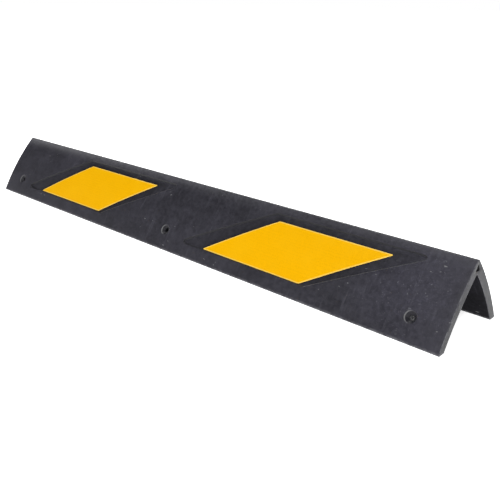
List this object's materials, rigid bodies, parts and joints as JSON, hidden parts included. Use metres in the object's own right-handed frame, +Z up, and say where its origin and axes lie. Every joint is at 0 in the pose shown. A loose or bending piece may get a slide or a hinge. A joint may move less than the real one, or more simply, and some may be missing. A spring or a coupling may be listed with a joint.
{
  "type": "rubber corner guard",
  "caption": "Black rubber angle that covers an edge or lies on the ground, with yellow reflective films in slanted recesses and countersunk screw holes.",
  "frame": {"origin": "on the ground at the middle of the footprint: midway along the guard, midway between its two feet", "axes": "+X along the ridge, to the right seen from the front; +Y from the front leg to the back leg; +Z up from the feet to the ridge"},
  "size_m": [0.8, 0.1178, 0.0799],
  "materials": {
    "rubber": "matt moulded black rubber, slightly dusty",
    "reflective_film": "glossy yellow retroreflective film"
  },
  "bodies": {
    "root": {"rubber_guard": "rubber", "front_left_film": "reflective_film", "front_right_film": "reflective_film", "back_left_film": "reflective_film", "back_right_film": "reflective_film"}
  },
  "joints": []
}
